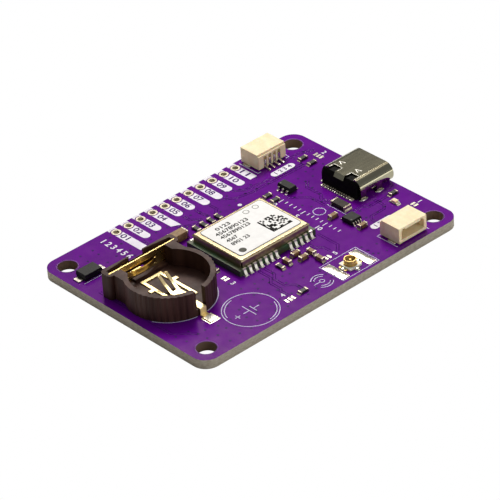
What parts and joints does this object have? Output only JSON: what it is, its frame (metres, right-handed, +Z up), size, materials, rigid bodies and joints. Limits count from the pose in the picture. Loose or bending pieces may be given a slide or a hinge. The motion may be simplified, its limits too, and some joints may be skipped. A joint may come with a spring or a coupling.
{
  "type": "satellite positioning receiver board",
  "caption": "Flat rectangular circuit board with a shielded satellite receiver module, coin cell holder, USB receptacle, cable sockets, coax connector and corner screw holes.",
  "frame": {"origin": "middle of the pattern of mounting holes, on the board's underside", "axes": "+X along the board towards the USB receptacle, +Y towards the row of header holes, +Z up from the board"},
  "size_m": [0.054, 0.038, 0.006],
  "materials": {
    "solder_mask": "glossy purple solder mask over glass fibre laminate",
    "gold_plate": "bright gold plating over copper",
    "tin_solder": "bright tin solder",
    "module_laminate": "dark green solder mask over thin laminate",
    "shield_steel": "satin tin plated steel sheet",
    "label_film": "white matte printed film",
    "chip_epoxy": "fine matte black epoxy",
    "ceramic_lid": "plated lid on ceramic",
    "holder_plastic": "satin dark brown moulding",
    "contact_gold": "gold plated spring strip",
    "usb_steel": "bright nickel plated steel",
    "insulator_plastic": "black moulding",
    "socket_plastic": "cream moulding",
    "coax_plastic": "off-white moulding",
    "resistor_film": "glazed black film on ceramic",
    "capacitor_ceramic": "tan ceramic",
    "fuse_coat": "dark coating on a polymer fuse",
    "led_resin": "clear yellowish resin"
  },
  "bodies": {
    "root": {"circuit_board": "solder_mask", "header_barrels": "gold_plate", "jumper_pads": "tin_solder", "antenna_pads": "tin_solder", "module_substrate": "module_laminate", "module_terminals": "tin_solder", "module_shield": "shield_steel", "module_label": "label_film", "receiver_chip": "chip_epoxy", "crystal_oscillator": "ceramic_lid", "antenna_filter": "ceramic_lid", "supply_inductor": "chip_epoxy", "holder_body": "holder_plastic", "holder_blade_contact": "contact_gold", "holder_floor_contact": "contact_gold", "usb_shell": "usb_steel", "usb_insulator": "insulator_plastic", "usb_contacts": "gold_plate", "usb_midplate": "usb_steel", "rear_socket_housing": "socket_plastic", "rear_socket_contacts": "tin_solder", "rear_socket_tabs": "tin_solder", "front_socket_housing": "socket_plastic", "front_socket_contacts": "tin_solder", "front_socket_tabs": "tin_solder", "coax_base": "coax_plastic", "coax_ring": "contact_gold", "coax_pin": "contact_gold", "diode_body": "chip_epoxy", "diode_leads": "tin_solder", "esd_chip_body": "chip_epoxy", "esd_chip_leads": "tin_solder", "regulator_body": "chip_epoxy", "regulator_leads": "tin_solder", "fuse_body": "fuse_coat", "fuse_terminals": "tin_solder", "led_base": "label_film", "led_lens": "led_resin", "led_terminals": "gold_plate", "resistor_bodies": "resistor_film", "resistor_terminals": "tin_solder", "capacitor_bodies": "capacitor_ceramic", "capacitor_terminals": "tin_solder", "bulk_capacitor_body": "capacitor_ceramic", "bulk_capacitor_terminals": "tin_solder"}
  },
  "joints": []
}
